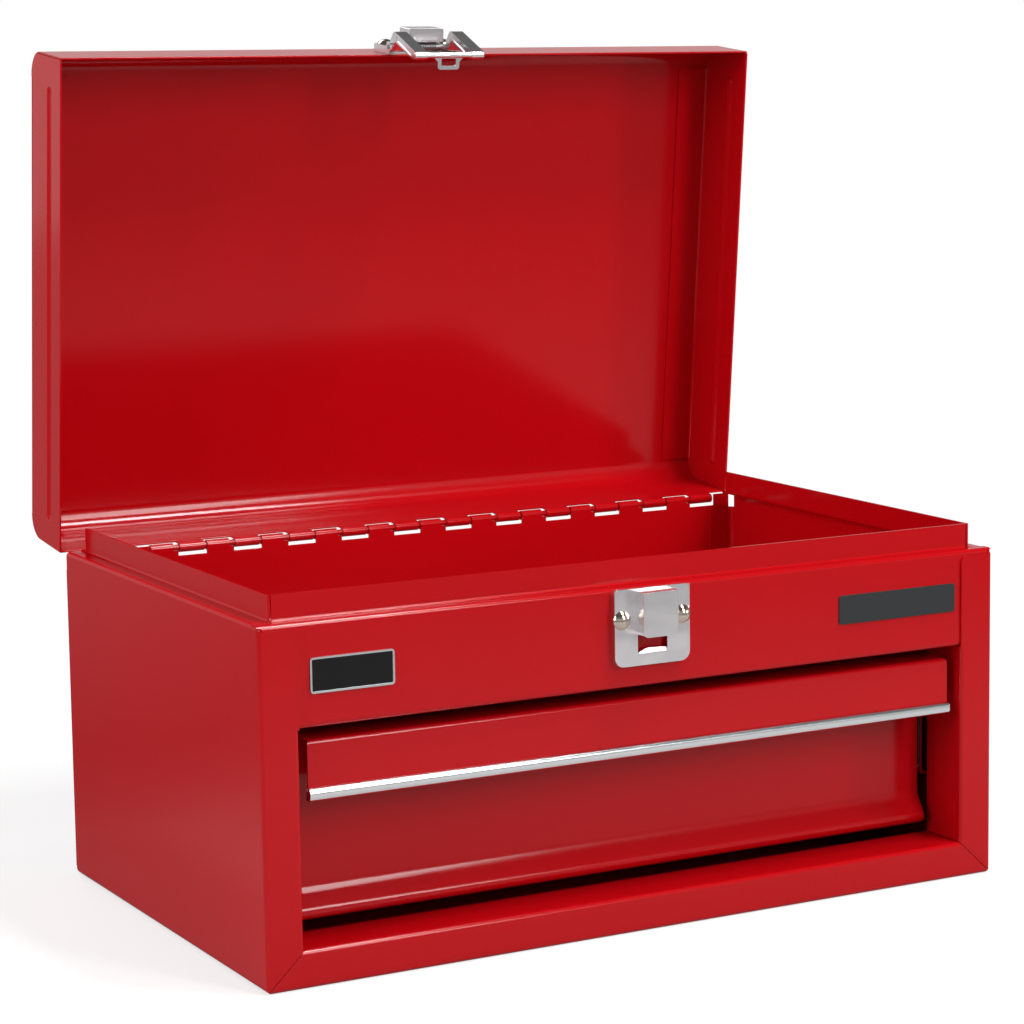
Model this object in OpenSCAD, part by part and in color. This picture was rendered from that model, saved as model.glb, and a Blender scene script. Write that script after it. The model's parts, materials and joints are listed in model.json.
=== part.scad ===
// Portable steel tool box: a lidded top tray over one deep drawer.
// Right is +X, the rear is +Y, up is +Z; the origin is the middle of the underside.
// The lid is drawn open, as it stands in use, and the drawer is drawn shut.

/* [Body] */
// Outside width of the body
body_w = 410; // [396:1:430]
// Outside depth, from the front frame to the rear panel
body_d = 256; // [248:1:272]
// Height from the underside to the top ledge
body_h = 172; // [168:1:180]
// Thickness of the steel sheet
sheet = 1; // [0.8:0.05:1.1]
// Inside radius of a tight bend
bend = 1.2; // [0.8:0.1:1.6]
// Inside radius of the bend between each side and the base
base_bend = 2.5; // [2:0.1:3.5]
// Width of the ledge that carries the closed lid
ledge_w = 8.8; // [7:0.1:10]
// Height of the lip that stands inside the closed lid
lip_h = 12.4; // [9:0.1:15]
// Width of the flanges behind which the rear panel is welded
rear_flange_w = 16; // [12:0.5:20]

/* [Front frame] */
// Width of each jamb beside the drawer
jamb_w = 19.3; // [18:0.1:22]
// Height of the rail under the drawer
rail_h = 18.3; // [16:0.1:20]
// Height of the fixed panel above the drawer
front_panel_h = 49.7; // [46:0.1:52]
// Depth of the tunnel round the drawer opening
frame_depth = 30; // [24:0.5:32]
// Distance from the ledge down to the top end of each jamb
jamb_drop = 2.6; // [2.4:0.1:4]
// Corner radius at the top end of each jamb
jamb_corner_r = 4; // [3:0.25:5]

/* [Hinge] */
// Outside radius of a rolled knuckle
knuckle_r = 2.6; // [2.4:0.05:3]
// Distance from the ledge down to the hinge axis
pin_drop = 4; // [3.8:0.1:5]
// Distance from one lid knuckle to the next
hinge_pitch = 31.75; // [31:0.25:33]
// Distance from the body's right side to the middle of the last lid knuckle
knuckle_inset = 20.75; // [20.5:0.25:24]
// Length of a lid knuckle
lid_knuckle_w = 14.4; // [13:0.1:15]
// Length of a body knuckle
body_knuckle_w = 12.8; // [11:0.1:13.5]
// Width of the window in the rear panel below a lid knuckle
window_w = 16.2; // [15.6:0.1:17]
// Open height of that window below the knuckle
window_gap = 1.5; // [1.2:0.1:4]

/* [Lid] */
// Height of the closed lid
lid_h = 44; // [40:0.5:50]
// Outside radius of the lid's front and rear edges
lid_r = 12; // [10:0.5:16]
// Overhang of the lid past the front frame
lid_overhang = 2.4; // [2:0.1:3]
// Gap between the closed lid and the ledge
lid_gap = 0.5; // [0.3:0.1:0.8]
// Angle to which the lid is opened
lid_open_angle = 84.2; // [80:0.1:88]
// Width of the flange on each of the lid's end plates
end_flange_w = 19.7; // [14:0.1:22]
// Width of the stiffening bead in each end plate
bead_w = 7; // [5:0.25:9]
// Depth of that bead
bead_depth = 1.3; // [0.8:0.1:1.8]
// Height of the bead's middle above the lid's rim
bead_rise = 16; // [12:0.25:18]

/* [Drawer] */
// Gap between the drawer front and the jambs
drawer_side_gap = 5.7; // [4:0.1:7]
// Gap above the drawer front
drawer_top_gap = 6.5; // [5:0.1:9]
// How far the hooded pull stands behind the front frame
hood_inset = 4.7; // [4.4:0.1:8]
// Height of the hooded pull
hood_h = 24.5; // [20:0.1:28]
// Depth of the finger space behind the hooded pull
hood_depth = 26.3; // [22:0.1:28]
// Height of the drawer front's swept foot above the rail
foot_gap = 5.3; // [4:0.1:8]
// Forward reach of the swept foot
foot_reach = 6.5; // [5:0.1:8]
// Height of the drawer tray's walls
drawer_wall_h = 78; // [70:0.5:84]
// Width of the folded rim along the drawer tray's sides
hem_w = 6; // [4:0.25:8]
// How far the drawer pulls out
drawer_travel = 150; // [120:1:160]

/* [Ball slides] */
// Length of each slide member
slide_len = 200; // [190:1:204]
// Radius of the bearing balls
ball_r = 3; // [2.8:0.05:3.2]
// Height between the upper and the lower row of balls
ball_rows = 26; // [22:0.5:30]
// Thickness of the slide members
slide_sheet = 1.2; // [1:0.05:1.4]
// Number of balls in each row
balls = 4; // [3:1:4]

/* [Catch and latch] */
// Width of the catch plate
catch_w = 42; // [40:0.5:44]
// Height of the catch plate
catch_h = 38; // [37:0.5:39]
// Depth of the dished catch plate
catch_depth = 3.5; // [3:0.1:4]
// Width of the box hook
hook_w = 19.8; // [18:0.1:20]
// Height of the box hook
hook_h = 22; // [21:0.1:23]
// How far the box hook stands off the catch plate
hook_depth = 8.8; // [8:0.1:9]
// Radius of a rivet's domed head
rivet_head_r = 4.75; // [4:0.05:4.9]
// Distance between the rivets of a pair
rivet_span = 33.8; // [33:0.1:34.2]
// Depth of the latch base along the lid wall
latch_base_len = 18.5; // [18:0.1:22]
// Height of the latch base off the lid wall
latch_base_rise = 4.5; // [4.2:0.1:5]
// Reach of the bail past the lid's rim
bail_reach = 30.5; // [29.5:0.1:31.5]
// Width of the bail over its arms
bail_w = 40.4; // [39.5:0.1:40.4]
// Radius of the latch's pivot pin
latch_pin_r = 1.2; // [1:0.05:1.3]

/* [Carrying handle] */
// Distance between the middles of the handle brackets
handle_span = 124; // [110:1:150]
// Radius of the handle rod
rod_r = 4; // [3.5:0.1:4.5]
// Radius of the grip
grip_r = 8.5; // [7.5:0.1:9]
// Distance from the handle's pivot to the middle of the grip
handle_reach = 42; // [38:0.5:50]

/* [Hidden] */
$fn = 48;
red = "#b0121f";
nickel = "#c9c6c4";
steel = "#9a9da0";

// Clearances
seam = 0.06;        // between two welded sheets
run = 0.05;         // between a pin and its bore, all round
slit = 0.3;         // open line of a mitred corner

// Planes and radii that several pieces share
edge_r = bend + sheet;
base_r = base_bend + sheet;
rear_bend = 2.5;
rear_r = rear_bend + sheet;
half_w = body_w / 2;
front_y = -body_d / 2;
rear_y = body_d / 2;
shell_rear_y = rear_y - sheet - seam;
opening_x = half_w - jamb_w;
opening_top = body_h - front_panel_h;
stub = 2;           // overlap where two runs of one sheet join

// Hinge
bore_r = knuckle_r - sheet;
hinge_pin_r = bore_r - run;
pin_y = rear_y + bore_r;
pin_z = body_h - pin_drop;
roll = 300;         // degrees that a knuckle is rolled through
window_z = pin_z - knuckle_r - window_gap;
knuckles = floor((body_w - 2 * knuckle_inset + 12) / hinge_pitch);
first_knuckle_x = half_w - knuckle_inset - (knuckles - 1) * hinge_pitch;
knuckle_x = [for (k = [0 : knuckles - 1]) first_knuckle_x + k * hinge_pitch];
tab_w = hinge_pitch - window_w;

// Lid, in its closed place
rim_z = body_h + lid_gap;
lid_top = rim_z + lid_h;
lid_front = front_y - lid_overhang;

// Drawer
drawer_w = 2 * (opening_x - drawer_side_gap);
hood_y = front_y + hood_inset;
hood_top = opening_top - drawer_top_gap;
panel_y = hood_y + hood_depth;
foot_z = rail_h + foot_gap;
tray_front = panel_y + sheet + seam;

// Ball slides: the race wraps the ball, and the webs run tangent to it
race_r = ball_r + 0.1;
slide_t = 2 * (race_r + slide_sheet);
bracket_x = opening_x - sheet;
ball_x = bracket_x - seam - slide_t / 2;
tray_half_w = bracket_x - slide_t - 2 * seam;
slide_front = front_y + frame_depth + 5;
slide_rear = slide_front + slide_len;
cage_len = slide_len - drawer_travel;
drawer_floor = foot_z + 3;
slide_z = drawer_floor + drawer_wall_h * 0.53;

// Latch, in its closed place
latch_half_w = bail_w / 2 + 0.2 + sheet;
latch_y = lid_front - 4.2;
latch_z = rim_z + 0.5;
catch_y = front_y + sheet + seam;
catch_top = body_h - 0.6;
hook_top = catch_top - 1;
hook_bottom = hook_top - hook_h;
catch_rivet_z = catch_top - 15;
latch_rivet_z = rim_z + 13.4;

// Handle, in its closed place
handle_z = lid_top + grip_r + 1;
handle_half = handle_span / 2;
bracket_half = 8;
handle_turn_r = 11;
leg_x = handle_half - bracket_half - 1.5 - handle_turn_r;

// ---------------------------------------------------------------- helpers

// Part of a flat ring between two angles
module sector(r0, r1, a0, a1) {
  intersection() {
    difference() {
      circle(r = r1);
      circle(r = r0);
    }
    polygon(concat([[0, 0]], [for (k = [0 : 6]) let (a = a0 + (a1 - a0) * k / 6) 2 * r1 * [cos(a), sin(a)]]));
  }
}

// Edge view of a folded sheet. Each entry of the path is a flat length, the angle of
// the bend after it and that bend's inside radius. The sheet lies left of the path.
module folded(path, t = sheet, i = 0) {
  len_i = path[i][0];
  turn = path[i][1];
  r = path[i][2];
  if (len_i > 0) square([len_i, t]);
  if (i + 1 < len(path)) {
    if (turn > 0) {
      translate([len_i, r + t]) sector(r, r + t, -90, turn - 90);
      translate([len_i + (r + t) * sin(turn), (r + t) * (1 - cos(turn))])
        rotate(turn) folded(path, t, i + 1);
    } else {
      translate([len_i, -r]) sector(r, r + t, 90 + turn, 90);
      translate([len_i - r * sin(turn), r * (cos(turn) - 1)])
        rotate(turn) folded(path, t, i + 1);
    }
  }
}

// Extrudes an XZ outline along Y, a YZ outline along X or an XY outline along Z
module along_y(y0, y1) { translate([0, y1, 0]) rotate([90, 0, 0]) linear_extrude(height = y1 - y0) children(); }
module along_x(x0, x1) { translate([x0, 0, 0]) rotate([90, 0, 90]) linear_extrude(height = x1 - x0) children(); }
module along_z(z0, z1) { translate([0, 0, z0]) linear_extrude(height = z1 - z0) children(); }

module block(x0, x1, y0, y1, z0, z1) { translate([x0, y0, z0]) cube([x1 - x0, y1 - y0, z1 - z0]); }
module rod_x(x0, x1, y, z, r) { translate([x0, y, z]) rotate([0, 90, 0]) cylinder(r = r, h = x1 - x0); }

module both_sides() {
  children();
  mirror([1, 0, 0]) children();
}

// Turns a piece from the closed lid to the open one
module lid_open() {
  translate([0, pin_y, pin_z]) rotate([-lid_open_angle, 0, 0]) translate([0, -pin_y, -pin_z]) children();
}

// Straight bar with round ends, seen from its side
module bar(p, q, w) {
  d = q - p;
  translate(p) rotate(atan2(d[1], d[0])) translate([0, -w / 2]) square([norm(d), w]);
  translate(p) circle(d = w);
  translate(q) circle(d = w);
}

module round_rect(w, h, r) {
  translate([-w / 2 + r, -h / 2]) square([w - 2 * r, h]);
  translate([-w / 2, -h / 2 + r]) square([w, h - 2 * r]);
  for (x = [-1, 1], y = [-1, 1]) translate([x * (w / 2 - r), y * (h / 2 - r)]) circle(r = r);
}

// Domed rivet with its shank, pointing to -Y, its head seated at the origin
module rivet(head_r, shank_len) {
  dome_h = head_r * 0.55;
  dome_r = (head_r * head_r + dome_h * dome_h) / (2 * dome_h);
  rotate([90, 0, 0]) {
    intersection() {
      translate([0, 0, dome_h - dome_r]) sphere(r = dome_r);
      cylinder(r = head_r, h = dome_h + 1);
    }
    translate([0, 0, -shank_len]) cylinder(r = head_r / 2, h = shank_len + 0.2);
  }
}

// ---------------------------------------------------------------- body

// Edge view of the wrapper: lip, ledge, side, base, side, ledge, lip
module wrapper_outline() {
  lip = lip_h - bend;
  ledge = ledge_w - bend - edge_r;
  side = body_h - edge_r - base_r;
  base = body_w - 2 * base_r;
  translate([-half_w + ledge_w, body_h + lip_h]) rotate(-90)
    folded([
      [lip, -90, bend], [ledge, 90, bend], [side, 90, base_bend], [base, 90, base_bend],
      [side, 90, bend], [ledge, -90, bend], [lip, 0, 0]
    ]);
}

// Outline of the body seen from the front, with its two round lower corners
module body_outline() {
  translate([-half_w, base_r]) square([body_w, body_h + lip_h]);
  translate([-half_w + base_r, 0]) square([body_w - 2 * base_r, base_r]);
  for (s = [-1, 1]) translate([s * (half_w - base_r), base_r]) circle(r = base_r);
}

// Left jamb: the side's front edge, folded across and then back along the opening
module jamb() {
  top = body_h - jamb_drop;
  face = jamb_w - edge_r;
  along_z(0, opening_top - slit)
    translate([-half_w, front_y + edge_r + stub]) rotate(-90)
      folded([[stub, 90, bend], [face - edge_r, 90, bend], [frame_depth - edge_r, 0, 0]]);
  difference() {
    along_z(opening_top - slit, top)
      translate([-half_w, front_y + edge_r + stub]) rotate(-90)
        folded([[stub, 90, bend], [face, 0, 0]]);
    // rounded inner corner at the top end
    difference() {
      block(-opening_x - jamb_corner_r, -opening_x + 1, front_y - 1, front_y + sheet + 1,
            top - jamb_corner_r, top + 1);
      translate([-opening_x - jamb_corner_r, front_y - 2, top - jamb_corner_r])
        rotate([-90, 0, 0]) cylinder(r = jamb_corner_r, h = sheet + 4);
    }
  }
}

// Rail: the base's front edge, folded up and then back along the opening
module rail() {
  along_x(-half_w, half_w)
    translate([front_y + frame_depth, rail_h]) rotate(180)
      folded([[frame_depth - edge_r, 90, bend], [rail_h - 2 * edge_r, 90, bend], [stub, 0, 0]]);
}

// Region on the inner, upper side of the left mitre line, moved off it by half the slit
module above_mitre(offset_x) {
  far = body_h * 2;
  along_y(front_y - 1, front_y + frame_depth + 1)
    translate([-half_w + offset_x, 0]) rotate(atan2(rail_h, jamb_w))
      translate([-far, 0]) square([2 * far, far]);
}

module front_frame() {
  intersection() {
    union() {
      both_sides() intersection() {
        jamb();
        above_mitre(-slit / 2);
      }
      difference() {
        rail();
        both_sides() above_mitre(slit);
      }
    }
    along_y(front_y - 1, front_y + frame_depth + 1) body_outline();
  }
}

module outer_shell() {
  side_start = front_y + edge_r;
  side_end = shell_rear_y - rear_r;
  lip_start = front_y + ledge_w + slit;
  lip_end = rear_y - 9.4;
  flange_top = window_z - 1.5;
  color(red) {
    difference() {
      along_y(side_start, side_end) wrapper_outline();
      // the front panel's ledge lies over the sides here
      block(-half_w - 1, half_w + 1, side_start - 1, front_y + ledge_w - bend + slit,
            body_h - sheet - seam, body_h + lip_h + 1);
      block(-half_w + ledge_w - edge_r, half_w - ledge_w + edge_r, side_start - 1, lip_start,
            body_h - sheet - seam, body_h + lip_h + 1);
      // the lips stop short of the hinge
      block(-half_w - 1, half_w + 1, lip_end, rear_y, body_h + bend, body_h + lip_h + 1);
    }
    front_frame();
    // rear flanges of the two sides
    both_sides()
      along_z(base_r + 1, flange_top)
        translate([-half_w + rear_flange_w, shell_rear_y]) rotate(180)
          folded([[rear_flange_w - rear_r, 90, rear_bend], [stub, 0, 0]]);
    // rear flange of the base
    along_x(-half_w + base_r + 2, half_w - base_r - 2)
      translate([side_end - stub, 0])
        folded([[shell_rear_y - edge_r - side_end + stub, 90, bend], [rear_flange_w - edge_r, 0, 0]]);
  }
}

// Fixed panel above the drawer: lip, ledge, face and the top of the tunnel
module front_panel() {
  face_y = front_y + sheet + seam;
  lip_half = half_w - ledge_w - 1.8;
  face_half = half_w - edge_r;
  color(red)
    difference() {
      along_x(-half_w, half_w)
        translate([front_y + ledge_w, body_h + lip_h]) rotate(-90)
          folded([
            [lip_h - bend, -90, bend],
            [front_y + ledge_w - face_y - bend - edge_r, 90, bend],
            [front_panel_h - 2 * edge_r, 90, bend],
            [front_y + frame_depth - face_y - edge_r, 0, 0]
          ]);
      both_sides() {
        // the lip stops short of the side lips
        block(-half_w - 1, -lip_half, front_y + ledge_w - bend, front_y + frame_depth,
              body_h - sheet - 1, body_h + lip_h + 1);
        // the face stands between the sides
        block(-half_w - 1, -face_half, front_y, front_y + frame_depth, 0, body_h - sheet);
        block(-half_w - 1, -opening_x - sheet, front_y + 3 * sheet, front_y + frame_depth + 1,
              0, opening_top + edge_r);
      }
    }
}

// One tab of a hinge leaf, rolled over the pin at its upper end; the leaf's outside is at rear_y
module hinge_tab(x0, w, x_roll, w_roll, foot) {
  block(x0, x0 + w, rear_y - sheet, rear_y, pin_z - foot, pin_z - knuckle_r / 2);
  along_x(x_roll, x_roll + w_roll)
    translate([rear_y, pin_z - knuckle_r / 2]) rotate(90)
      folded([[knuckle_r / 2, -roll, bore_r], [0, 0, 0]]);
}

module rear_panel() {
  panel_half = half_w - rear_r + 1;
  first_tab = knuckle_x[0] - window_w / 2 - tab_w;
  end_top = body_h - 1.6;
  color(red) {
    block(-panel_half, panel_half, rear_y - sheet, rear_y, 1.5, window_z);
    for (x = knuckle_x)
      hinge_tab(x - window_w / 2 - tab_w, tab_w, x - window_w / 2 - tab_w + slit, body_knuckle_w,
                pin_z - window_z + 0.5);
    block(-panel_half, first_tab - slit, rear_y - sheet, rear_y, window_z - 0.5, end_top);
    block(knuckle_x[knuckles - 1] + window_w / 2, panel_half, rear_y - sheet, rear_y,
          window_z - 0.5, end_top);
  }
}

module hinge_pin() {
  first = knuckle_x[0] - window_w / 2 - tab_w;
  last = knuckle_x[knuckles - 1] + lid_knuckle_w / 2;
  color(red) rod_x(first + slit / 2, last + slit, pin_y, pin_z, hinge_pin_r);
}

// Floor of the top tray: a shallow pan with four turned-up edges and notched corners
module tray_floor() {
  upstand = 9;
  notch = 4.5;
  x1 = half_w - sheet - seam;
  y0 = front_y + 2 * sheet + 2 * seam;
  y1 = shell_rear_y - sheet - seam;
  z0 = opening_top + sheet + seam;
  color(red)
    difference() {
      union() {
        along_y(y0 + notch, y1 - notch) translate([-x1, z0 + upstand]) rotate(-90)
          folded([[upstand - edge_r, 90, bend], [2 * x1 - 2 * edge_r, 90, bend], [upstand - edge_r, 0, 0]]);
        along_x(-x1 + notch, x1 - notch) translate([y0, z0 + upstand]) rotate(-90)
          folded([[upstand - edge_r, 90, bend], [y1 - y0 - 2 * edge_r, 90, bend], [upstand - edge_r, 0, 0]]);
      }
      // the two pans share only the flat floor
      both_sides() {
        block(-x1 - 1, -x1 + notch, y0 - 1, y0 + notch, z0 - 1, z0 + upstand + 1);
        block(-x1 - 1, -x1 + notch, y1 - notch, y1 + 1, z0 - 1, z0 + upstand + 1);
      }
    }
}

// ---------------------------------------------------------------- drawer slides

// Right-hand bracket between the side and the slide
module bracket_right() {
  wall = half_w - sheet - seam;
  foot = 9;
  web = ball_rows + 14;
  leg = wall - sheet - bracket_x;
  color(red)
    along_y(slide_front, slide_rear)
      translate([wall - sheet, slide_z + web / 2 + foot]) rotate(-90)
        folded([
          [foot - bend, -90, bend], [leg - bend - edge_r, 90, bend], [web - 2 * edge_r, 90, bend],
          [leg - bend - edge_r, -90, bend], [foot - bend, 0, 0]
        ]);
}

// Half of a race, below the upper row of balls or above the lower one
module race(a0, a1) {
  for (s = [-1, 1])
    translate([ball_x, slide_z]) scale([1, s]) translate([0, ball_rows / 2])
      sector(race_r, race_r + slide_sheet, a0, a1);
}

module outer_member_right() {
  color(steel)
    along_y(slide_front, slide_rear) {
      translate([ball_x + race_r, slide_z - ball_rows / 2]) square([slide_sheet, ball_rows]);
      race(0, 150);
    }
}

module inner_member_right() {
  web_top = ball_rows / 2 - 0.7;
  color(steel)
    along_y(slide_front, slide_rear) {
      translate([ball_x - race_r - slide_sheet, slide_z - web_top]) square([slide_sheet, 2 * web_top]);
      race(190, 300);
    }
}

// Cage with its balls; it travels half as far as the drawer
module cage_right() {
  middle = (slide_front + slide_rear) / 2;
  pitch = (cage_len - 2 * ball_r - 2) / (balls - 1);
  color(steel) {
    block(ball_x + 2.3, ball_x + 2.8, middle - cage_len / 2, middle + cage_len / 2,
          slide_z - ball_rows / 2 - 0.7, slide_z + ball_rows / 2 + 0.7);
    for (s = [-1, 1], k = [0 : balls - 1])
      translate([ball_x, middle + (k - (balls - 1) / 2) * pitch, slide_z + s * ball_rows / 2])
        rotate(180) sphere(r = ball_r);
  }
}

module slide_bracket_right() { bracket_right(); }
module slide_bracket_left() { mirror([1, 0, 0]) bracket_right(); }
module slide_outer_right() { outer_member_right(); }
module slide_outer_left() { mirror([1, 0, 0]) outer_member_right(); }
module slide_inner_right() { inner_member_right(); }
module slide_inner_left() { mirror([1, 0, 0]) inner_member_right(); }
module ball_cage_right() { cage_right(); }
module ball_cage_left() { mirror([1, 0, 0]) cage_right(); }

// ---------------------------------------------------------------- drawer

// Drawer front, one folded sheet: hooded pull, flat face and a foot that sweeps forward
module drawer_front() {
  sweep_r = 10;     // hollow bend above the foot
  sweep = 35;       // degrees that the sheet leans forward there
  toe_r = 3;        // inside radius of the round toe
  toe_turn = 150;
  lean = (foot_reach - (sweep_r + toe_r + sheet) * (1 - cos(sweep))) / sin(sweep);
  toe_drop = sweep_r * sin(sweep) + lean * cos(sweep) + (toe_r + sheet) * (1 + sin(sweep));
  face = hood_top - sheet - bend - foot_z - toe_drop - 0.8;
  corner_r = 2;     // upper corners of the hood, seen from the front
  color(red)
    difference() {
      along_x(-drawer_w / 2, drawer_w / 2)
        translate([hood_y + sheet, hood_top - hood_h]) rotate(90)
          folded([
            [hood_h - edge_r, -90, bend], [hood_depth - sheet - 2 * bend, -90, bend],
            [face, -sweep, sweep_r], [lean, toe_turn, toe_r], [0, 0, 0]
          ]);
      both_sides() difference() {
        block(-drawer_w / 2 - 1, -drawer_w / 2 + corner_r, hood_y - 1, hood_y + hood_depth / 2,
              hood_top - corner_r, hood_top + 1);
        translate([-drawer_w / 2 + corner_r, hood_y - 2, hood_top - corner_r])
          rotate([-90, 0, 0]) cylinder(r = corner_r, h = hood_depth);
      }
    }
}

// Aluminium edge on the hooded pull: a deep rounded bead with a slot for the sheet
module drawer_trim() {
  bead_h = 6;
  nose_r = 2.4;
  over = 0.2;       // reach past each end of the hood
  mid_z = hood_top - hood_h;
  z0 = mid_z + 1.8 - bead_h;
  y0 = hood_y - 2.8;
  y1 = hood_y + sheet + 1;
  color("#c8c8c8")
    along_x(-drawer_w / 2 - over, drawer_w / 2 + over)
      difference() {
        union() {
          for (z = [z0 + nose_r, z0 + bead_h - nose_r]) translate([y0 + nose_r, z]) circle(r = nose_r);
          translate([y0, z0 + nose_r]) square([nose_r, bead_h - 2 * nose_r]);
          translate([y0 + nose_r, z0]) square([y1 - y0 - nose_r, bead_h]);
        }
        translate([hood_y - run, mid_z - run]) square([sheet + 2 * run, bead_h]);
      }
}

// Drawer tray: floor and sides in one sheet with folded rims, and two end walls
module drawer_tray() {
  y0 = tray_front;
  y1 = slide_rear;
  top = drawer_floor + drawer_wall_h;
  wall = drawer_wall_h - 2 * edge_r;
  color(red) {
    along_y(y0, y1)
      translate([-tray_half_w + hem_w, top]) rotate(180)
        folded([
          [hem_w - edge_r, 90, bend], [wall, 90, bend], [2 * tray_half_w - 2 * edge_r, 90, bend],
          [wall, 90, bend], [hem_w - edge_r, 0, 0]
        ]);
    for (y = [y0, y1 - sheet])
      block(-tray_half_w + sheet / 2, tray_half_w - sheet / 2, y, y + sheet, drawer_floor + sheet / 2, top - edge_r);
  }
}

// ---------------------------------------------------------------- lid, drawn closed and then opened

module lid_cover_closed() {
  half = half_w - 0.4;
  inner_r = lid_r - sheet;
  along_x(-half, half)
    translate([rear_y, rim_z]) rotate(90)
      folded([
        [lid_h - lid_r, 90, inner_r], [rear_y - lid_front - 2 * lid_r, 90, inner_r], [lid_h - lid_r, 0, 0]
      ]);
  // knuckles: the same rolled tab as the body's, upside down
  translate([0, 0, pin_z]) mirror([0, 0, 1]) translate([0, 0, -pin_z])
    for (x = knuckle_x)
      hinge_tab(x - lid_knuckle_w / 2, lid_knuckle_w, x - lid_knuckle_w / 2, lid_knuckle_w, rim_z - pin_z + 0.5);
}

module lid_cover() { color(red) lid_open() lid_cover_closed(); }

// Outline of an end plate inside the cover
module end_outline(inset) {
  r = lid_r - inset;
  y0 = lid_front + inset;
  y1 = rear_y - inset;
  translate([y0, rim_z]) square([y1 - y0, lid_h - lid_r]);
  translate([y0 + r, rim_z]) square([y1 - y0 - 2 * r, lid_h - inset]);
  for (y = [y0 + r, y1 - r]) translate([y, lid_top - inset - r]) circle(r = r);
}

// Right end plate: pressed bead, and a flange folded in under the cover
module end_plate_right() {
  inset = sheet + seam;
  flat = end_flange_w - edge_r;
  top_start = lid_front + lid_r + 2;
  top_end = rear_y - lid_r + 0.4;
  bead_r = (bead_w * bead_w / 4 + bead_depth * bead_depth) / (2 * bead_depth);
  bead_x = half_w + bead_r - bead_depth;
  bead_z = rim_z + bead_rise;
  bead_y = [lid_front + 16 + bead_w / 2, rear_y - 13.5 - bead_w / 2];
  difference() {
    union() {
      difference() {
        along_x(half_w - sheet, half_w) end_outline(inset);
        // the folded edge takes the place of the flat one here
        block(half_w - 2, half_w + 1, top_start, top_end, lid_top - inset - edge_r, lid_top);
      }
      along_y(top_start, top_end)
        translate([half_w, lid_top - inset - edge_r - 0.5]) rotate(90)
          folded([[0.5, 90, bend], [flat, 0, 0]]);
      // raised back of the bead
      intersection() {
        bead_run(bead_x, bead_y, bead_z, bead_r + sheet);
        block(half_w - 10, half_w - sheet / 2, lid_front, rear_y, rim_z, lid_top);
      }
    }
    bead_run(bead_x, bead_y, bead_z, bead_r);
  }
}

module bead_run(x, y, z, r) {
  translate([x, y[0], z]) rotate([-90, 0, 0]) cylinder(r = r, h = y[1] - y[0]);
  for (k = y) translate([x, k, z]) sphere(r = r);
}

module lid_end_right() { color(red) lid_open() end_plate_right(); }
module lid_end_left() { color(red) lid_open() mirror([1, 0, 0]) end_plate_right(); }

// ---------------------------------------------------------------- catch on the body

// Outline of the catch plate, its lower corners more rounded than its upper ones
module catch_outline(inset) {
  low_r = 5 - inset / 2;
  top_r = 1.6 - inset / 2;
  w = catch_w / 2 - inset;
  z0 = catch_top - catch_h + inset;
  z1 = catch_top - inset;
  translate([-w, z0 + low_r]) square([2 * w, z1 - z0 - low_r - top_r]);
  translate([-w + low_r, z0]) square([2 * (w - low_r), z1 - z0 - top_r]);
  translate([-w + top_r, z0 + low_r]) square([2 * (w - top_r), z1 - z0 - low_r]);
  for (s = [-1, 1]) {
    translate([s * (w - low_r), z0 + low_r]) circle(r = low_r);
    translate([s * (w - top_r), z1 - top_r]) circle(r = top_r);
  }
}

module catch_plate() {
  face = catch_y - catch_depth;
  plate_t = 1;
  hook_t = 1.2;
  hook_y = face - hook_depth;
  window_half = 8.3;
  window_z0 = hook_bottom - 9.2;
  color(nickel) {
    difference() {
      along_y(face, catch_y) catch_outline(0);
      along_y(face + plate_t, catch_y + 1) catch_outline(plate_t);
      // window below the hook, open up into it
      along_y(face - 1, face + 2) translate([0, (window_z0 + hook_bottom + 5) / 2])
        round_rect(2 * window_half, hook_bottom + 5 - window_z0, 1.6);
      for (s = [-1, 1])
        translate([s * rivet_span / 2, face - 1, catch_rivet_z]) rotate([-90, 0, 0])
          cylinder(r = rivet_head_r / 2 + run, h = 3);
    }
    // box hook, open below
    difference() {
      intersection() {
        along_z(hook_bottom, hook_top) translate([0, (hook_y + face + 0.5) / 2])
          round_rect(hook_w, face + 0.5 - hook_y, 0.8);
        along_y(hook_y - 1, face + 1) translate([0, (hook_bottom + hook_top + 4) / 2])
          round_rect(hook_w + 0.02, hook_h + 4, 2.8);
      }
      block(-hook_w / 2 + hook_t, hook_w / 2 - hook_t, hook_y + hook_t, face,
            hook_bottom - 1, hook_top - hook_t);
    }
    // tongue that leans back inside the window
    translate([0, face + 0.2, window_z0 - 0.3]) rotate([-14, 0, 0])
      along_y(0, plate_t) polygon([[-window_half, 0], [window_half, 0], [window_half - 0.5, 2.4],
                                   [-2, 2.9], [-window_half + 1.3, 1.2]]);
  }
}

module catch_rivets() {
  face = catch_y - catch_depth;
  color("#c2b6a6")
    for (s = [-1, 1])
      translate([s * rivet_span / 2, face - run, catch_rivet_z]) rivet(rivet_head_r, catch_depth);
}

// ---------------------------------------------------------------- latch on the lid

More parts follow.
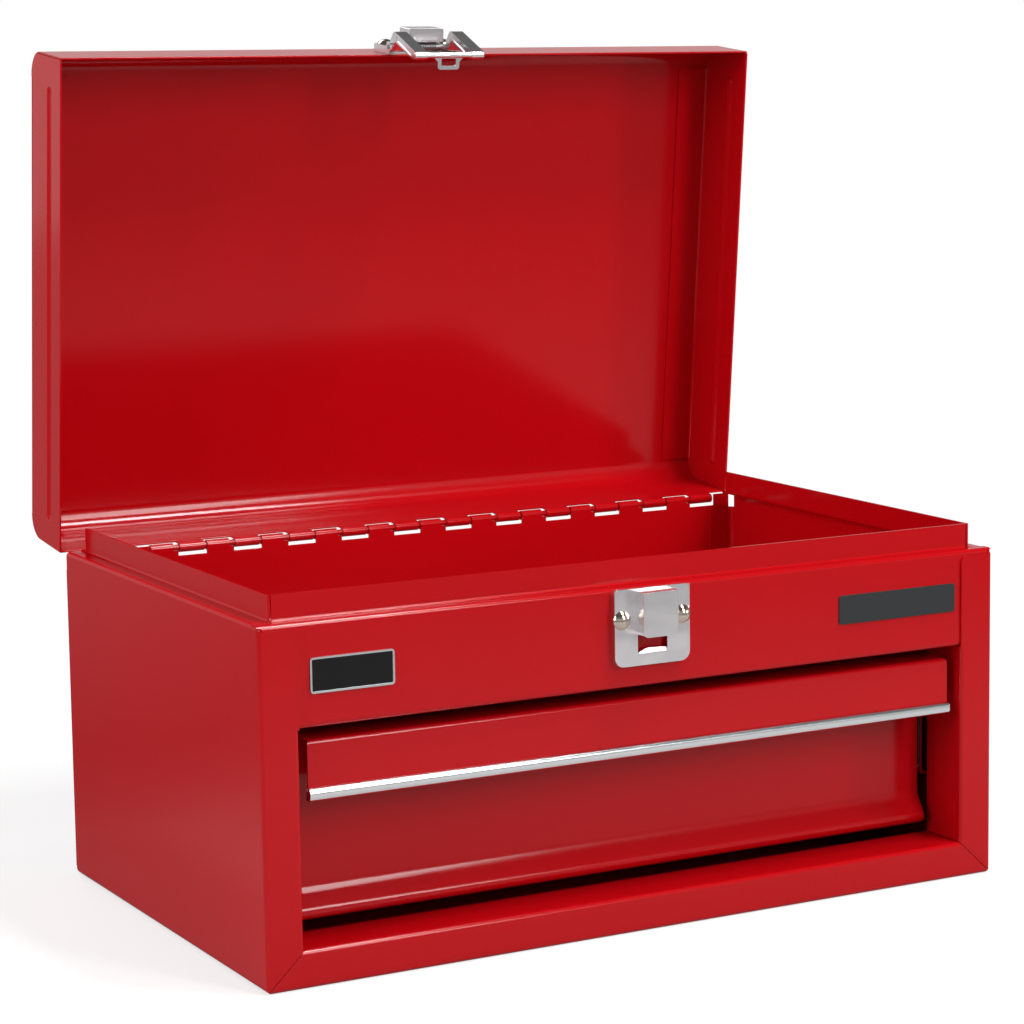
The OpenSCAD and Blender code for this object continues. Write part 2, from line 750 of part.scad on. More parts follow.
// Pressed base: a dished rear part, and two cheeks that carry the pivot pin
module latch_base_closed() {
  t = sheet;
  rear_z = rim_z + latch_base_len;
  dish_z = rim_z + 8;
  top_y = lid_front - latch_base_rise;
  difference() {
    union() {
      block(-latch_half_w, latch_half_w, top_y, lid_front - seam, dish_z, rear_z);
      both_sides() {
        block(-latch_half_w, -latch_half_w + t, top_y, lid_front - seam, rim_z + 1, dish_z + 1);
        block(-latch_half_w, -latch_half_w + t, latch_y - 2.6, latch_y + 2.6, latch_z, rim_z + 3);
        rod_x(-latch_half_w, -latch_half_w + t, latch_y, latch_z, 2.6);
      }
      block(-latch_half_w, latch_half_w, lid_front - seam - t, lid_front - seam, rim_z + 1, rim_z + 2);
    }
    block(-latch_half_w + t, latch_half_w - t, top_y + t, lid_front + 1, dish_z - 1, rear_z - t);
    rod_x(-latch_half_w - 1, latch_half_w + 1, latch_y, latch_z, latch_pin_r + run);
    both_sides() translate([rivet_span / 2, top_y - 1, latch_rivet_z]) rotate([-90, 0, 0])
      cylinder(r = rivet_head_r / 2 + run, h = 3);
  }
}

module latch_base() { color(nickel) lid_open() latch_base_closed(); }

// Spring housing over the pivot, open below, with a ribbed field on its front face
module latch_housing() {
  half = 10.2;
  base_y = lid_front - latch_base_rise - seam;
  top_y = lid_front - 14;
  front_low_y = lid_front - 6.8;
  z0 = rim_z - 1.5;
  z1 = rim_z + 10.5;
  ribs = 12;
  pitch = 1.25;
  color(nickel) lid_open()
    difference() {
      along_z(z0, z1) translate([0, (base_y + top_y) / 2])
        round_rect(2 * half, base_y - top_y, 1.2);
      block(-half + sheet, half - sheet, top_y + sheet, base_y + 1, z0 + sheet, z1 - sheet);
      block(-half - 1, half + 1, front_low_y, base_y + 1, z0 - 1, rim_z + 3);
      for (k = [0 : ribs - 1])
        translate([(k - (ribs - 1) / 2) * pitch - 0.3, top_y + 1.6, z0 - 1]) cube([0.6, 4.2, 1.35]);
    }
}

module latch_rivets() {
  color("#c2b6a6") lid_open()
    for (s = [-1, 1])
      translate([s * rivet_span / 2, lid_front - latch_base_rise - run, latch_rivet_z])
        rivet(rivet_head_r, latch_base_rise - seam);
}

module latch_pin() {
  color(steel) lid_open() rod_x(-latch_half_w - 0.4, latch_half_w + 0.4, latch_y, latch_z, latch_pin_r);
}

// Torsion spring round the pin: one wire swept along a helix
wire_r = 0.4;
coil_r = latch_pin_r + 0.1 + wire_r;
coil_turns = 9;
coil_len = 13;
coil_steps = 12;
coil_sides = 6;
function coil_point(u) = [
  (u / coil_turns - 0.5) * coil_len,
  coil_r * cos(360 * u),
  coil_r * sin(360 * u)
];
function coil_ring(u) =
  let (c = coil_point(u), out = [0, cos(360 * u), sin(360 * u)])
  [for (k = [0 : coil_sides - 1]) let (a = 360 * k / coil_sides)
    c + wire_r * (cos(a) * out + sin(a) * [1, 0, 0])];

module latch_spring() {
  rings = coil_turns * coil_steps;
  n = coil_sides;
  points = [for (i = [0 : rings]) each coil_ring(i / coil_steps)];
  sides = [for (i = [0 : rings - 1], k = [0 : n - 1]) let (a = i * n + k, b = i * n + (k + 1) % n)
    each [[a, b, a + n], [b, b + n, a + n]]];
  caps = [[for (k = [n - 1 : -1 : 0]) k], [for (k = [0 : n - 1]) rings * n + k]];
  color(steel) lid_open() translate([0, latch_y, latch_z])
    polyhedron(points = points, faces = concat(sides, caps));
}

// Bail: two shouldered arms, a crossbar and the small loop that drops into the catch
module latch_bail() {
  arm_t = 7;
  arm_w = 4.8;
  bar_r = 1.7;
  groove = 0.5;
  wire = 2;
  loop_w = 12.6;
  loop_len = 7.6;
  root_w = 17.6;
  eye = [latch_y, latch_z];
  shoulder = [lid_front - 10.2, rim_z - 3.8];
  foot = [lid_front - 2.4, rim_z - bail_reach + arm_w / 2];
  color(nickel) lid_open()
    difference() {
      union() {
        both_sides() along_x(bail_w / 2 - arm_t, bail_w / 2) {
          bar(eye, shoulder, arm_w);
          bar(shoulder, foot, arm_w);
        }
        rod_x(-bail_w / 2 + arm_t / 2, bail_w / 2 - arm_t / 2, foot[0], foot[1], bar_r);
        translate([0, foot[0], foot[1]]) along_z(-0.8, 0.8) {
          translate([0, loop_len / 2]) round_rect(loop_w, loop_len, 1.6);
          polygon([[-root_w / 2, 0], [root_w / 2, 0], [root_w / 2, 1.2], [loop_w / 2, 3.4],
                   [-loop_w / 2, 3.4], [-root_w / 2, 1.2]]);
        }
      }
      translate([0, foot[0] + (loop_len - wire + bar_r) / 2, foot[1]]) along_z(-1, 1)
        round_rect(loop_w - 2 * wire, loop_len - wire - bar_r, 0.6);
      // pressed grooves along both faces of each arm
      both_sides() for (x = [bail_w / 2 - groove, bail_w / 2 - arm_t - 1])
        along_x(x, x + groove + 1)
          bar(shoulder + [1.1, -3.2], foot + [-0.7, 4.2], 2.2);
      rod_x(-bail_w, bail_w, latch_y, latch_z, latch_pin_r + run);
    }
}

// ---------------------------------------------------------------- handle on the lid

module bracket_outline(inset) {
  w = 13 - inset;
  top = handle_z + rod_r + 3 - inset;
  translate([-w, lid_top]) square([2 * w, 5 - inset / 2]);
  polygon([[-w, lid_top + 5 - inset / 2], [w, lid_top + 5 - inset / 2], [rod_r + 3 - inset, handle_z],
           [-rod_r - 3 + inset, handle_z]]);
  translate([0, handle_z]) circle(r = rod_r + 3 - inset);
}

// Saddle bracket with a welded foot and a bore for the rod's end
module handle_bracket(x) {
  half = bracket_half;
  difference() {
    union() {
      along_x(x - half, x + half) bracket_outline(0);
      block(x - half, x + half, -19, 19, lid_top + seam, lid_top + seam + 1.6);
    }
    along_x(x - half + 1.4, x + half - 1.4) bracket_outline(1.4);
    block(x - half - 1, x + half + 1, -20, 20, lid_top - 1, lid_top + seam);
    rod_x(x - half - 1, x + half + 1, 0, handle_z, rod_r + run);
  }
}

module handle_bracket_left() { color("#2c2c2e") lid_open() handle_bracket(-handle_half); }
module handle_bracket_right() { color("#2c2c2e") lid_open() handle_bracket(handle_half); }

module elbow(r, a) { rotate_extrude(angle = a) translate([r, 0]) circle(r = rod_r); }

// Handle rod, folded down towards the rear of the lid
module handle_bail() {
  r = handle_turn_r;
  tip = handle_half + bracket_half - 1;
  color(steel) lid_open() {
    both_sides() {
      rod_x(leg_x + r, tip, 0, handle_z, rod_r);
      translate([leg_x + r, r, handle_z]) rotate(180) elbow(r, 90);
      translate([leg_x, r, handle_z]) rotate([-90, 0, 0]) cylinder(r = rod_r, h = handle_reach - 2 * r);
      translate([leg_x - r, handle_reach - r, handle_z]) elbow(r, 90);
    }
    rod_x(-leg_x + r, leg_x - r, handle_reach, handle_z, rod_r);
  }
}

// Ribbed sleeve on the rod
module handle_grip() {
  half = leg_x - handle_turn_r;
  ribs = 7;
  color("#222222") lid_open() translate([0, handle_reach, handle_z]) rotate([0, 90, 0])
    difference() {
      union() {
        translate([0, 0, -half]) cylinder(r = grip_r - 0.8, h = 2 * half);
        for (k = [0 : ribs - 1])
          translate([0, 0, (k - (ribs - 1) / 2) * 2 * (half - 3) / ribs])
            rotate_extrude() translate([grip_r - 2.6, 0]) circle(r = 2.6);
      }
      translate([0, 0, -half - 1]) cylinder(r = rod_r + run, h = 2 * half + 2);
    }
}

outer_shell();
front_panel();
rear_panel();
tray_floor();
hinge_pin();
slide_bracket_left();
slide_bracket_right();
slide_outer_left();
slide_outer_right();
catch_plate();
catch_rivets();
ball_cage_left();
ball_cage_right();
slide_inner_left();
slide_inner_right();
drawer_tray();
drawer_front();
drawer_trim();
lid_cover();
lid_end_left();
lid_end_right();
latch_base();
latch_housing();
latch_rivets();
latch_spring();
latch_pin();
latch_bail();
handle_bracket_left();
handle_bracket_right();
handle_bail();
handle_grip();
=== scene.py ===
# %% [markdown]
# A portable steel tool box: a hinged lid over a tray, and one drawer below it. The lid
# stands open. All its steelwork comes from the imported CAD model, which is loaded here as
# a fixed frame. This file gives each part its finish, rounds the edges of the sheet steel,
# adds two small plates on the front, and sets up a plain studio round the box.

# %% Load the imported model
import json
import math

import bmesh
import bpy
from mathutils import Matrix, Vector


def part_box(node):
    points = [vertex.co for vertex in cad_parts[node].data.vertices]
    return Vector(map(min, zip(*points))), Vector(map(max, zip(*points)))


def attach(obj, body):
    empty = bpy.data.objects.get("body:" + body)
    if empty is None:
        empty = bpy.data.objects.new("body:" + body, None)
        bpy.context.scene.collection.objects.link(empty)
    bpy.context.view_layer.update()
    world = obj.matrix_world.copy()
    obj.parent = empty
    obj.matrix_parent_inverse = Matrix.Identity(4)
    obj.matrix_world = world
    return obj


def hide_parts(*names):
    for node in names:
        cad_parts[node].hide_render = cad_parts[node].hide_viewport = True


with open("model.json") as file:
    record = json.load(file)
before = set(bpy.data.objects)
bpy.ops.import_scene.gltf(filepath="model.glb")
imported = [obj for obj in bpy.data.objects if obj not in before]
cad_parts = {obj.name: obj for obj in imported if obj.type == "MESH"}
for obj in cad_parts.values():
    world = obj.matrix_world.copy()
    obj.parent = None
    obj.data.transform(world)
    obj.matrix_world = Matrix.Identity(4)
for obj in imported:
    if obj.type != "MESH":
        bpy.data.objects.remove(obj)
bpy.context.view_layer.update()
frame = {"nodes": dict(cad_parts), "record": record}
nodes = frame["nodes"]
MM = 0.001

# %% [markdown]
# The camera stands low, to the left of the box and about 1.6 m away, with a long lens, so
# that upright edges stay almost parallel. A little lens shift frames the open lid without
# tilting the camera up.

# %% Camera
camera = bpy.data.objects.new("camera", bpy.data.cameras.new("camera"))
bpy.context.scene.collection.objects.link(camera)
camera.location = (-0.7466, -1.4101, 0.4298)
camera.rotation_euler = [math.radians(turn) for turn in (82.259, 0.503, -30.119)]
camera.data.sensor_width = 36
camera.data.lens = 109.29
camera.data.shift_x = -0.125
camera.data.shift_y = -0.041
camera.data.clip_start = 0.05
camera.data.clip_end = 50
bpy.context.scene.camera = camera
print("camera:", round(camera.location.length, 2), "m away, lens", camera.data.lens, "mm")


# %% [markdown]
# Colours are written as hex values, as a paint chart gives them, and Blender wants them
# linear. A second helper adds a shader node and fills its sockets: a plain value is set,
# and another node's output is linked. Each finish below then reads from top to bottom. A
# third helper starts an empty material.

# %% Colour and node helpers
def paint(code):
    """Linear colour of an sRGB hex value."""
    parts = [int(code[i : i + 2], 16) / 255 for i in (1, 3, 5)]
    return (*[c / 12.92 if c <= 0.04045 else ((c + 0.055) / 1.055) ** 2.4 for c in parts], 1)


def add(tree, kind, sockets=(), **settings):
    """Adds a node. Each socket named gets a value, or a link to another node's output."""
    made = tree.nodes.new(kind)
    for name, value in settings.items():
        setattr(made, name, value)
    for socket, value in dict(sockets).items():
        if isinstance(value, bpy.types.NodeSocket):
            tree.links.new(value, made.inputs[socket])
        else:
            made.inputs[socket].default_value = value
    return made


def new_finish(name):
    """An empty material with its output node, and the coordinates of the object."""
    material = bpy.data.materials.new(name)
    material.use_nodes = True
    tree = material.node_tree
    tree.nodes.clear()
    out = add(tree, "ShaderNodeOutputMaterial")
    return material, tree, out, add(tree, "ShaderNodeTexCoord").outputs["Object"]


print("hex #808080 is", round(paint("#808080")[0], 3), "in linear light")


# %% [markdown]
# Powder coat is a plastic film baked on the steel. It is glossy, but the powder never
# flows quite flat, which leaves the shallow ripple that painters call orange peel, with
# waves 2 to 3 mm apart. The eye sees it as a slight wobble in the reflections, so it is a
# faint bump here, and the roughness stays low. Soft patches, a hand's width apart, make the
# film a little darker and duller here and there, as handling does.

# %% Powder coats
FILM_IOR = 1.34  # low for a plastic film, which keeps the red as deep as in the photograph
PEEL_MM, PEEL_DEPTH_MM = 2.6, 0.06
PATCH_MM, PATCH_SHADE = 70, 0.93
GLOSSIER, DULLER = 0.025, 0.035


def powder_coat(name, code, roughness):
    """A baked film of one colour."""
    material, tree, out, place = new_finish(name)
    peel = add(tree, "ShaderNodeTexNoise", {
        "Vector": place, "Scale": 1 / (PEEL_MM * MM), "Detail": 1.5,
    })
    patch = add(tree, "ShaderNodeTexNoise", {
        "Vector": place, "Scale": 1 / (PATCH_MM * MM), "Detail": 3,
    })
    full = paint(code)
    shade = add(tree, "ShaderNodeMix", {
        "Factor": patch.outputs["Fac"], "A": full, "B": (*[c * PATCH_SHADE for c in full[:3]], 1),
    }, data_type="RGBA")
    wear = add(tree, "ShaderNodeMapRange", {
        "Value": patch.outputs["Fac"],
        "To Min": roughness - GLOSSIER, "To Max": roughness + DULLER,
    })
    bump = add(tree, "ShaderNodeBump", {
        "Height": peel.outputs["Fac"], "Strength": 0.05, "Distance": PEEL_DEPTH_MM * MM,
    })
    film = add(tree, "ShaderNodeBsdfPrincipled", {
        "Base Color": shade.outputs["Result"], "Roughness": wear.outputs["Result"],
        "IOR": FILM_IOR, "Normal": bump.outputs["Normal"],
    })
    tree.links.new(film.outputs["BSDF"], out.inputs["Surface"])
    return material


red_enamel = powder_coat("red_powder_coat", "#B0060F", 0.13)
black_enamel = powder_coat("black_powder_coat", "#1B1B1D", 0.32)
print("coats:", red_enamel.name, black_enamel.name)


# %% [markdown]
# The metals differ in how they were worked. Nickel plate is bright over a pressed
# surface, so it keeps the faint waviness of the pressing. Zinc plate is duller and a little
# patchy. Aluminium trim is polished along its length. Each is a full metal with its own
# roughness, and a pattern that is stretched where the work ran in one direction.

# %% Metals
EVEN = (1, 1, 1)
WAVE_LENGTH_MM = 16


def metal(name, code, roughness, grain_mm, depth_mm, stretch=EVEN, spread=0.05, wave_mm=0.0):
    """A bare metal. Its roughness varies by the spread, and its waves are wave_mm high."""
    material, tree, out, place = new_finish(name)
    along = add(tree, "ShaderNodeMapping", {"Vector": place, "Scale": stretch})
    grain = add(tree, "ShaderNodeTexNoise", {
        "Vector": along.outputs["Vector"], "Scale": 1 / (grain_mm * MM), "Detail": 3,
    })
    wear = add(tree, "ShaderNodeMapRange", {
        "Value": grain.outputs["Fac"],
        "To Min": roughness - spread, "To Max": roughness + spread,
    })
    bump = add(tree, "ShaderNodeBump", {
        "Height": grain.outputs["Fac"], "Strength": 0.12, "Distance": depth_mm * MM,
    })
    if wave_mm:
        pressed = add(tree, "ShaderNodeTexNoise", {
            "Vector": place, "Scale": 1 / (WAVE_LENGTH_MM * MM), "Detail": 1,
        })
        bump = add(tree, "ShaderNodeBump", {
            "Height": pressed.outputs["Fac"], "Strength": 1.0, "Distance": wave_mm * MM,
            "Normal": bump.outputs["Normal"],
        })
    body = add(tree, "ShaderNodeBsdfPrincipled", {
        "Base Color": paint(code), "Metallic": 1.0,
        "Roughness": wear.outputs["Result"], "Normal": bump.outputs["Normal"],
    })
    tree.links.new(body.outputs["BSDF"], out.inputs["Surface"])
    return material


bright_nickel = metal("bright_nickel_plate", "#F4F0F2", roughness=0.22, grain_mm=3.0,
                      depth_mm=0.008, spread=0.02, wave_mm=0.4)
warm_nickel = metal("nickel_plated_rivet", "#CDC1B2", roughness=0.14, grain_mm=2.0,
                    depth_mm=0.02)
zinc_steel = metal("zinc_plated_steel", "#A9ACAF", roughness=0.33, grain_mm=1.6,
                   depth_mm=0.03, spread=0.08)
polished_trim = metal("polished_aluminium", "#E4E5E7", roughness=0.16, grain_mm=0.5,
                      depth_mm=0.02, stretch=(0.02, 1, 1))
print("metals:", bright_nickel.name, warm_nickel.name, zinc_steel.name, polished_trim.name)


# %% [markdown]
# The grip is moulded rubber: dark, dry and slightly grainy to the touch. A fine bump
# breaks its highlights up. Its grit is drawn coarser than the real one, so that it shows.

# %% Rubber
GRIT_MM, GRIT_DEPTH_MM = 0.8, 0.08


def moulded_rubber(name, code):
    """A dry, dark rubber with a fine grain."""
    material, tree, out, place = new_finish(name)
    grit = add(tree, "ShaderNodeTexNoise", {
        "Vector": place, "Scale": 1 / (GRIT_MM * MM), "Detail": 4,
    })
    bump = add(tree, "ShaderNodeBump", {
        "Height": grit.outputs["Fac"], "Strength": 0.35, "Distance": GRIT_DEPTH_MM * MM,
    })
    rubber = add(tree, "ShaderNodeBsdfPrincipled", {
        "Base Color": paint(code), "Roughness": 0.62, "IOR": 1.52,
        "Normal": bump.outputs["Normal"],
    })
    tree.links.new(rubber.outputs["BSDF"], out.inputs["Surface"])
    return material


grip_rubber = moulded_rubber("moulded_rubber", "#1A1A1B")
print("rubber:", grip_rubber.name)

# %% [markdown]
# Every part of the CAD model gets the finish that the record names for it.

# %% Finish the CAD parts
finishes = {
    "red_enamel": red_enamel,
    "nickel_plate": bright_nickel,
    "rivet_nickel": warm_nickel,
    "zinc_steel": zinc_steel,
    "polished_aluminium": polished_trim,
    "black_enamel": black_enamel,
    "grip_rubber": grip_rubber,
}
slots = {part["node"]: part["material_slot"] for part in frame["record"]["subparts"]}
for node, slot in slots.items():
    mesh = nodes[node].data
    mesh.materials.clear()
    mesh.materials.append(finishes[slot])
print("finished", len(slots), "CAD parts")


# %% [markdown]
# New pieces are modelled with Blender's own operators. An operator works on whatever is
# selected, so each piece starts by deselecting everything. When it is done, its place is
# applied to its mesh, which leaves the object itself at the origin.

# %% Modelling helpers
def start_box(name, low, high):
    """A new box between two corners, in millimetres, ready to be shaped."""
    bpy.ops.object.select_all(action="DESELECT")
    middle = [(a + b) / 2 * MM for a, b in zip(low, high)]
    bpy.ops.mesh.primitive_cube_add(size=1, location=middle)
    made = bpy.context.object
    made.name = name
    made.scale = [(b - a) * MM for a, b in zip(low, high)]
    bpy.ops.object.transform_apply(location=True, rotation=True, scale=True)
    return made


def pick(obj, kind, test):
    """Selects the faces or edges whose middle and normal or direction pass the test."""
    bpy.ops.object.mode_set(mode="EDIT")
    bpy.ops.mesh.select_mode(type="FACE" if kind == "faces" else "EDGE")
    bpy.ops.mesh.select_all(action="DESELECT")
    bm = bmesh.from_edit_mesh(obj.data)
    for item in bm.faces if kind == "faces" else bm.edges:
        middle = sum((v.co for v in item.verts), Vector()) / len(item.verts)
        if kind == "faces":
            way = item.normal
        else:
            way = (item.verts[1].co - item.verts[0].co).normalized()
        if test(middle, way):
            item.select_set(True)
    bmesh.update_edit_mesh(obj.data)


def settle(obj, body, finish):
    """Closes edit mode, gives the piece its finish and lets it ride on its body."""
    if bpy.context.mode != "OBJECT":
        bpy.ops.object.mode_set(mode="OBJECT")
    obj.data.materials.clear()
    obj.data.materials.append(finish)
    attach(obj, body)
    print(obj.name, len(obj.data.polygons), "faces, on", body)


# %% [markdown]
# Real sheet steel has no knife edges: pressing and painting leave each edge rounded by a
# few tenths of a millimetre, and the eye finds the shape of the box by the thin highlights
# there. The CAD model's edges are sharp, so each visible sheet part is copied, its loose
# triangles are merged, its flat faces joined, and a bevel rounds what is left. The copy then
# stands for the CAD part, at the same place and of the same size. A weighted normal keeps
# the wide faces flat, so that only the bevel shades round.

# %% Rounded edges on the sheet parts
MERGE_MM = 0.002
FLAT = math.radians(0.5)  # faces that meet at less than this are joined into one
CORNER = math.radians(40)  # edges that turn by more than this get a bevel
SMOOTH = math.radians(35)  # edges that turn by less than this are shaded as one curve


def round_edges(node, body, slot, width_mm):
    """Replaces a CAD part by a copy whose edges are rounded by the given width."""
    bpy.ops.object.select_all(action="DESELECT")
    piece = bpy.data.objects.new(node + "_rounded", nodes[node].data.copy())
    bpy.context.scene.collection.objects.link(piece)
    piece.select_set(True)
    bpy.context.view_layer.objects.active = piece
    bpy.ops.object.mode_set(mode="EDIT")
    bpy.ops.mesh.select_all(action="SELECT")
    bpy.ops.mesh.remove_doubles(threshold=MERGE_MM * MM)
    bpy.ops.mesh.dissolve_limited(angle_limit=FLAT)
    bpy.ops.object.mode_set(mode="OBJECT")
    edge = piece.modifiers.new("edge", "BEVEL")
    edge.width, edge.segments = width_mm * MM, 2
    edge.limit_method, edge.angle_limit = "ANGLE", CORNER
    bpy.ops.object.modifier_apply(modifier="edge")
    bpy.ops.object.shade_smooth_by_angle(angle=SMOOTH)
    flat = piece.modifiers.new("flat", "WEIGHTED_NORMAL")
    flat.keep_sharp = True
    bpy.ops.object.modifier_apply(modifier="flat")
    settle(piece, body, finishes[slot])
    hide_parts(node)


widths_mm = {
    "body": {
        "outer_shell": 0.35,
        "front_panel": 0.35,
        "rear_panel": 0.3,
        "tray_floor": 0.3,
        "catch_plate": 0.45,
    },
    "drawer": {"drawer_front": 0.35, "drawer_tray": 0.3, "drawer_trim": 0.3},
    "lid": {
        "lid_cover": 0.4,
        "lid_end_left": 0.35,
        "lid_end_right": 0.35,
        "latch_base": 0.3,
        "latch_housing": 0.25,
        "handle_bracket_left": 0.3,
        "handle_bracket_right": 0.3,
    },
    "bail": {"latch_bail": 0.35},
}
for body, widths in widths_mm.items():
    for node, width in widths.items():
        round_edges(node, body, slots[node], width)


# %% [markdown]
# Two small plates are glued to the front panel, and both are left bare. Each starts as a
# thin box, and a bevel of the edges that run from front to back rounds its corners.

# %% Plates on the front panel
plate_silver = metal("satin_aluminium", "#D9DADC", roughness=0.25, grain_mm=0.6,
                     depth_mm=0.02, stretch=(0.05, 1, 1))
plate_black = powder_coat("black_anodised_field", "#0E0E10", 0.28)
plate_dark = powder_coat("grey_lacquered_plate", "#2E3031", 0.3)
PROUD_MM, GLUE_MM = 0.7, 0.02
panel_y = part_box("front_panel")[0].y / MM
front_y = panel_y - PROUD_MM
print("panel at y =", round(panel_y, 2), "mm, front of the plates at", round(front_y, 2), "mm")


def start_plate(name, x, z, corner_mm):
    """A flat plate on the front panel, with rounded corners."""
    plate = start_box(name, (x[0], front_y, z[0]), (x[1], panel_y - GLUE_MM, z[1]))
    pick(plate, "edges", lambda middle, way: abs(way.y) > 0.9)
    bpy.ops.mesh.bevel(offset=corner_mm * MM, segments=5)
    return plate


# %% [markdown]
# The left plate is anodised aluminium with a raised rim round a sunken black field. An
# inset leaves the rim, and a second one pushes the field in. The field is then known by its
# depth, and gets the black finish.

# %% Left plate
RIM_MM, STEP_MM, SUNK_MM = 0.9, 0.12, 0.25
plate = start_plate("badge_left", (-179.5, -136.8), (138.2, 155.0), corner_mm=1.6)
pick(plate, "faces", lambda middle, way: way.y < -0.9)
bpy.ops.mesh.inset(thickness=RIM_MM * MM)
bpy.ops.mesh.inset(thickness=STEP_MM * MM, depth=-SUNK_MM * MM)
settle(plate, "body", plate_silver)
plate.data.materials.append(plate_black)
field_y = (front_y + SUNK_MM) * MM
for face in plate.data.polygons:
    if face.normal.y < -0.9 and abs(face.center.y - field_y) < 0.05 * MM:
        face.material_index = 1

# %% [markdown]
# The right plate is plain lacquered metal. Its front edge is broken by a small bevel.

# %% Right plate
BROKEN_MM = 0.2
plate = start_plate("badge_right", (110.5, 181.7), (140.9, 155.6), corner_mm=1.5)
half_y = (panel_y - PROUD_MM / 2) * MM
pick(plate, "edges", lambda middle, way: middle.y < half_y and abs(way.y) < 0.5)
bpy.ops.mesh.bevel(offset=BROKEN_MM * MM, segments=3)
settle(plate, "body", plate_dark)

# %% [markdown]
# The box stands on a wide white floor. The Light Path node tells apart the rays that meet
# it. Near the box the camera sees white that takes a shadow: part of it is lit by the
# lamps, and the rest glows. Paint and metal mirror a dimmer floor, as they do in the
# photograph, and it is darkest behind the box.

# %% Floor near the box
SEEN_LIT, SEEN_GLOW = 0.38, 0.62
MIRRORED_FRONT, MIRRORED_BACK = 0.46, 0.1
FRONT_Y, BACK_Y = -0.1, 0.4  # metres
bpy.ops.object.select_all(action="DESELECT")
bpy.ops.mesh.primitive_plane_add(size=12, location=(0, 0, -0.0002))
floor = bpy.context.object
floor.name = "floor"
bpy.ops.object.transform_apply(location=True, rotation=True, scale=True)
floor_white, tree, out, place = new_finish("white_sweep")
rays = add(tree, "ShaderNodeLightPath").outputs
shine = add(tree, "ShaderNodeMix", {"Factor": rays["Is Camera Ray"], "A": 0.0, "B": SEEN_GLOW})
glow = add(tree, "ShaderNodeEmission", {"Strength": shine.outputs["Result"]})
depth = add(tree, "ShaderNodeSeparateXYZ", {"Vector": place})
dimmed = add(tree, "ShaderNodeMapRange", {
    "Value": depth.outputs["Y"], "From Min": FRONT_Y, "From Max": BACK_Y,
    "To Min": MIRRORED_FRONT, "To Max": MIRRORED_BACK,
})
tone = add(tree, "ShaderNodeMix", {
    "Factor": rays["Is Camera Ray"], "A": dimmed.outputs["Result"], "B": SEEN_LIT,
})
dull = add(tree, "ShaderNodeBsdfDiffuse", {"Color": tone.outputs["Result"]})
near = add(tree, "ShaderNodeAddShader", {0: glow.outputs["Emission"], 1: dull.outputs["BSDF"]})
print("floor:", floor_white.name, "on", floor.name)

# %% [markdown]
# Further out the floor fades into a surface that takes no shadow, so that no edge of the
# floor shows. The camera sees it white, and the box mirrors it as a dim room. Rays that are
# neither seen nor mirrored meet a plain grey instead, which lights the box from below.

# %% Floor further out
FADE_FROM, FADE_TO = 0.5, 1.2  # metres from the middle of the box
MIRRORED_FAR = 0.25
LIGHTS_BOX = 0.4
level = add(tree, "ShaderNodeMix", {
    "Factor": rays["Is Camera Ray"], "A": MIRRORED_FAR, "B": 1.0,
})
far = add(tree, "ShaderNodeEmission", {"Strength": level.outputs["Result"]})
spot = add(tree, "ShaderNodeVectorMath", {0: place}, operation="LENGTH")
away = add(tree, "ShaderNodeMapRange", {
    "Value": spot.outputs["Value"], "From Min": FADE_FROM, "From Max": FADE_TO,
})
shown = add(tree, "ShaderNodeMixShader", {
    "Fac": away.outputs["Result"], 1: near.outputs["Shader"], 2: far.outputs["Emission"],
})
lit = add(tree, "ShaderNodeBsdfDiffuse", {"Color": (LIGHTS_BOX, LIGHTS_BOX, LIGHTS_BOX, 1)})
direct = add(tree, "ShaderNodeMath", {
    0: rays["Is Camera Ray"], 1: rays["Is Glossy Ray"],
}, operation="MAXIMUM")
seen = add(tree, "ShaderNodeMath", {
    0: direct.outputs["Value"], 1: rays["Is Transmission Ray"],
}, operation="MAXIMUM")
both = add(tree, "ShaderNodeMixShader", {
    "Fac": seen.outputs["Value"], 1: lit.outputs["BSDF"], 2: shown.outputs["Shader"],
})
tree.links.new(both.outputs["Shader"], out.inputs["Surface"])
floor.data.materials.append(floor_white)
print("floor fades from", FADE_FROM, "to", FADE_TO, "m")

# %% [markdown]
# The world does the same above the floor. The camera sees white. What paint and metal
# mirror is brightest near the horizon and dims upwards, like the room behind the lamps of
# a studio. The light that falls on the box from all round is a plain soft grey.

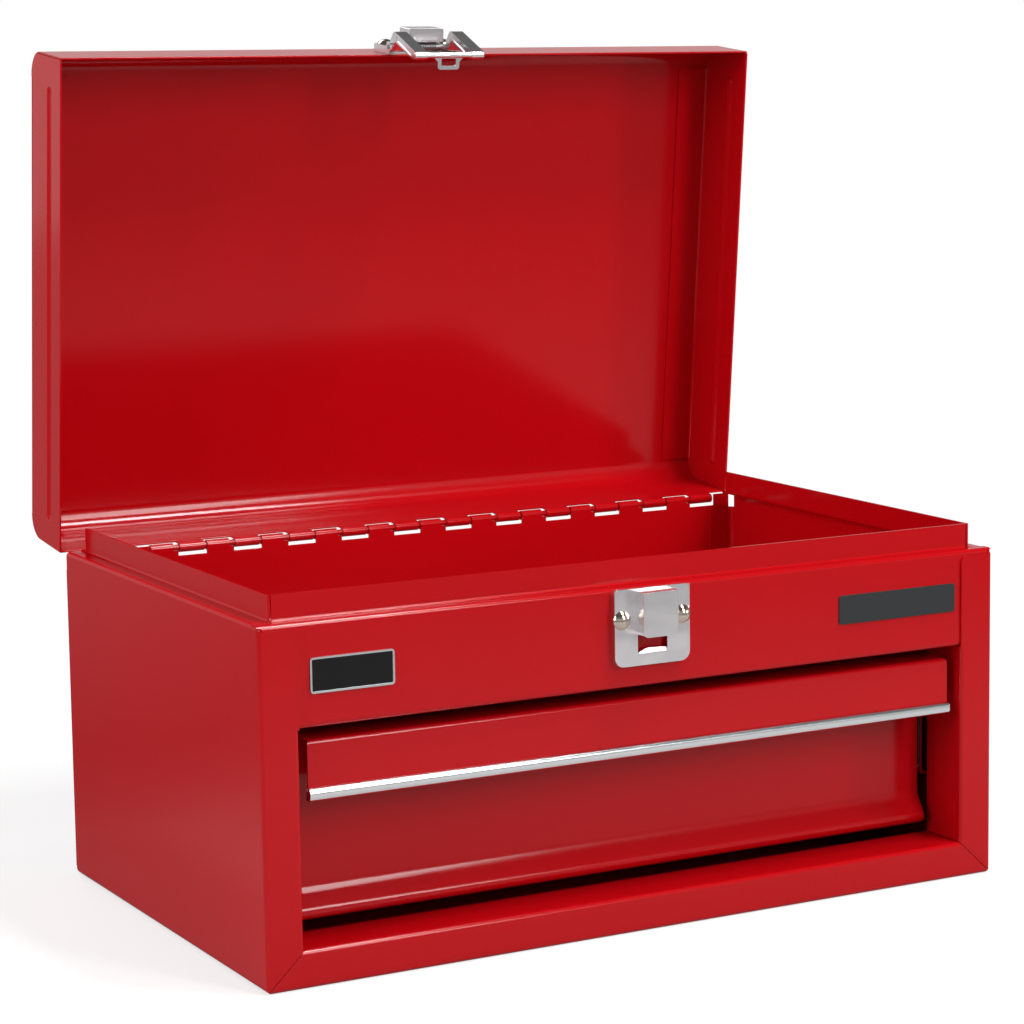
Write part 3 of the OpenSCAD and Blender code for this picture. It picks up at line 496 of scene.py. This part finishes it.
# %% World
AMBIENT = 0.42
ROOM_LOW, ROOM_HIGH = 0.55, 0.1
LOW_Z, HIGH_Z = 0.15, 0.6  # 0 is the horizon and 1 straight overhead
world = bpy.data.worlds.new("studio")
bpy.context.scene.world = world
world.use_nodes = True
tree = world.node_tree
tree.nodes.clear()
out = add(tree, "ShaderNodeOutputWorld")
rays = add(tree, "ShaderNodeLightPath").outputs
direction = add(tree, "ShaderNodeTexCoord").outputs["Generated"]
height = add(tree, "ShaderNodeSeparateXYZ", {"Vector": direction})
room = add(tree, "ShaderNodeMapRange", {
    "Value": height.outputs["Z"], "From Min": LOW_Z, "From Max": HIGH_Z,
    "To Min": ROOM_LOW, "To Max": ROOM_HIGH,
})
mirror = add(tree, "ShaderNodeMath", {
    0: rays["Is Glossy Ray"], 1: rays["Is Transmission Ray"],
}, operation="MAXIMUM")
unseen = add(tree, "ShaderNodeMix", {
    "Factor": mirror.outputs["Value"], "A": AMBIENT, "B": room.outputs["Result"],
})
level = add(tree, "ShaderNodeMix", {
    "Factor": rays["Is Camera Ray"], "A": unseen.outputs["Result"], "B": 1.0,
})
sky = add(tree, "ShaderNodeBackground", {
    "Color": (1, 1, 1, 1), "Strength": level.outputs["Result"],
})
tree.links.new(sky.outputs["Background"], out.inputs["Surface"])
print("world:", world.name, "with", len(tree.nodes), "nodes")


# %% [markdown]
# Soft boxes do the lighting. The key is a tall strip in front and to the right, and a small
# box hangs overhead: together they light the front and the inside of the lid, and the
# folds along the box mirror them as bright lines. The fill stands to the left and
# lights the side. A small box at the far right catches the upright edges, and the last one
# lights the back.

# %% Lights
def soft_box(name, place, aim, size, watts):
    """A rectangular lamp at a place, turned towards its aim. All lengths are in metres."""
    lamp = bpy.data.lights.new(name, "AREA")
    lamp.shape = "RECTANGLE"
    lamp.size, lamp.size_y = size
    lamp.energy = watts
    holder = bpy.data.objects.new(name, lamp)
    bpy.context.scene.collection.objects.link(holder)
    holder.location = place
    holder.rotation_euler = (Vector(aim) - Vector(place)).to_track_quat("-Z", "Y").to_euler()
    print("lamp:", name, watts, "W")


soft_box("key", (0.8, -2.1, 1.3), aim=(0, 0, 0.25), size=(0.4, 1.3), watts=25)
soft_box("edge", (2.0, -1.3, 0.5), aim=(0, 0, 0.3), size=(0.25, 0.4), watts=10)
soft_box("fill", (-2.2, -0.4, 1.0), aim=(0, 0, 0.2), size=(1.0, 1.4), watts=33)
soft_box("top", (0.64, -0.75, 2.1), aim=(0.64, -0.74, 0), size=(0.42, 0.6), watts=32)
soft_box("back", (-0.4, 1.6, 1.95), aim=(0, 0.1, 0.2), size=(1.6, 1.0), watts=14)

bpy.context.scene.view_settings.view_transform = "Standard"
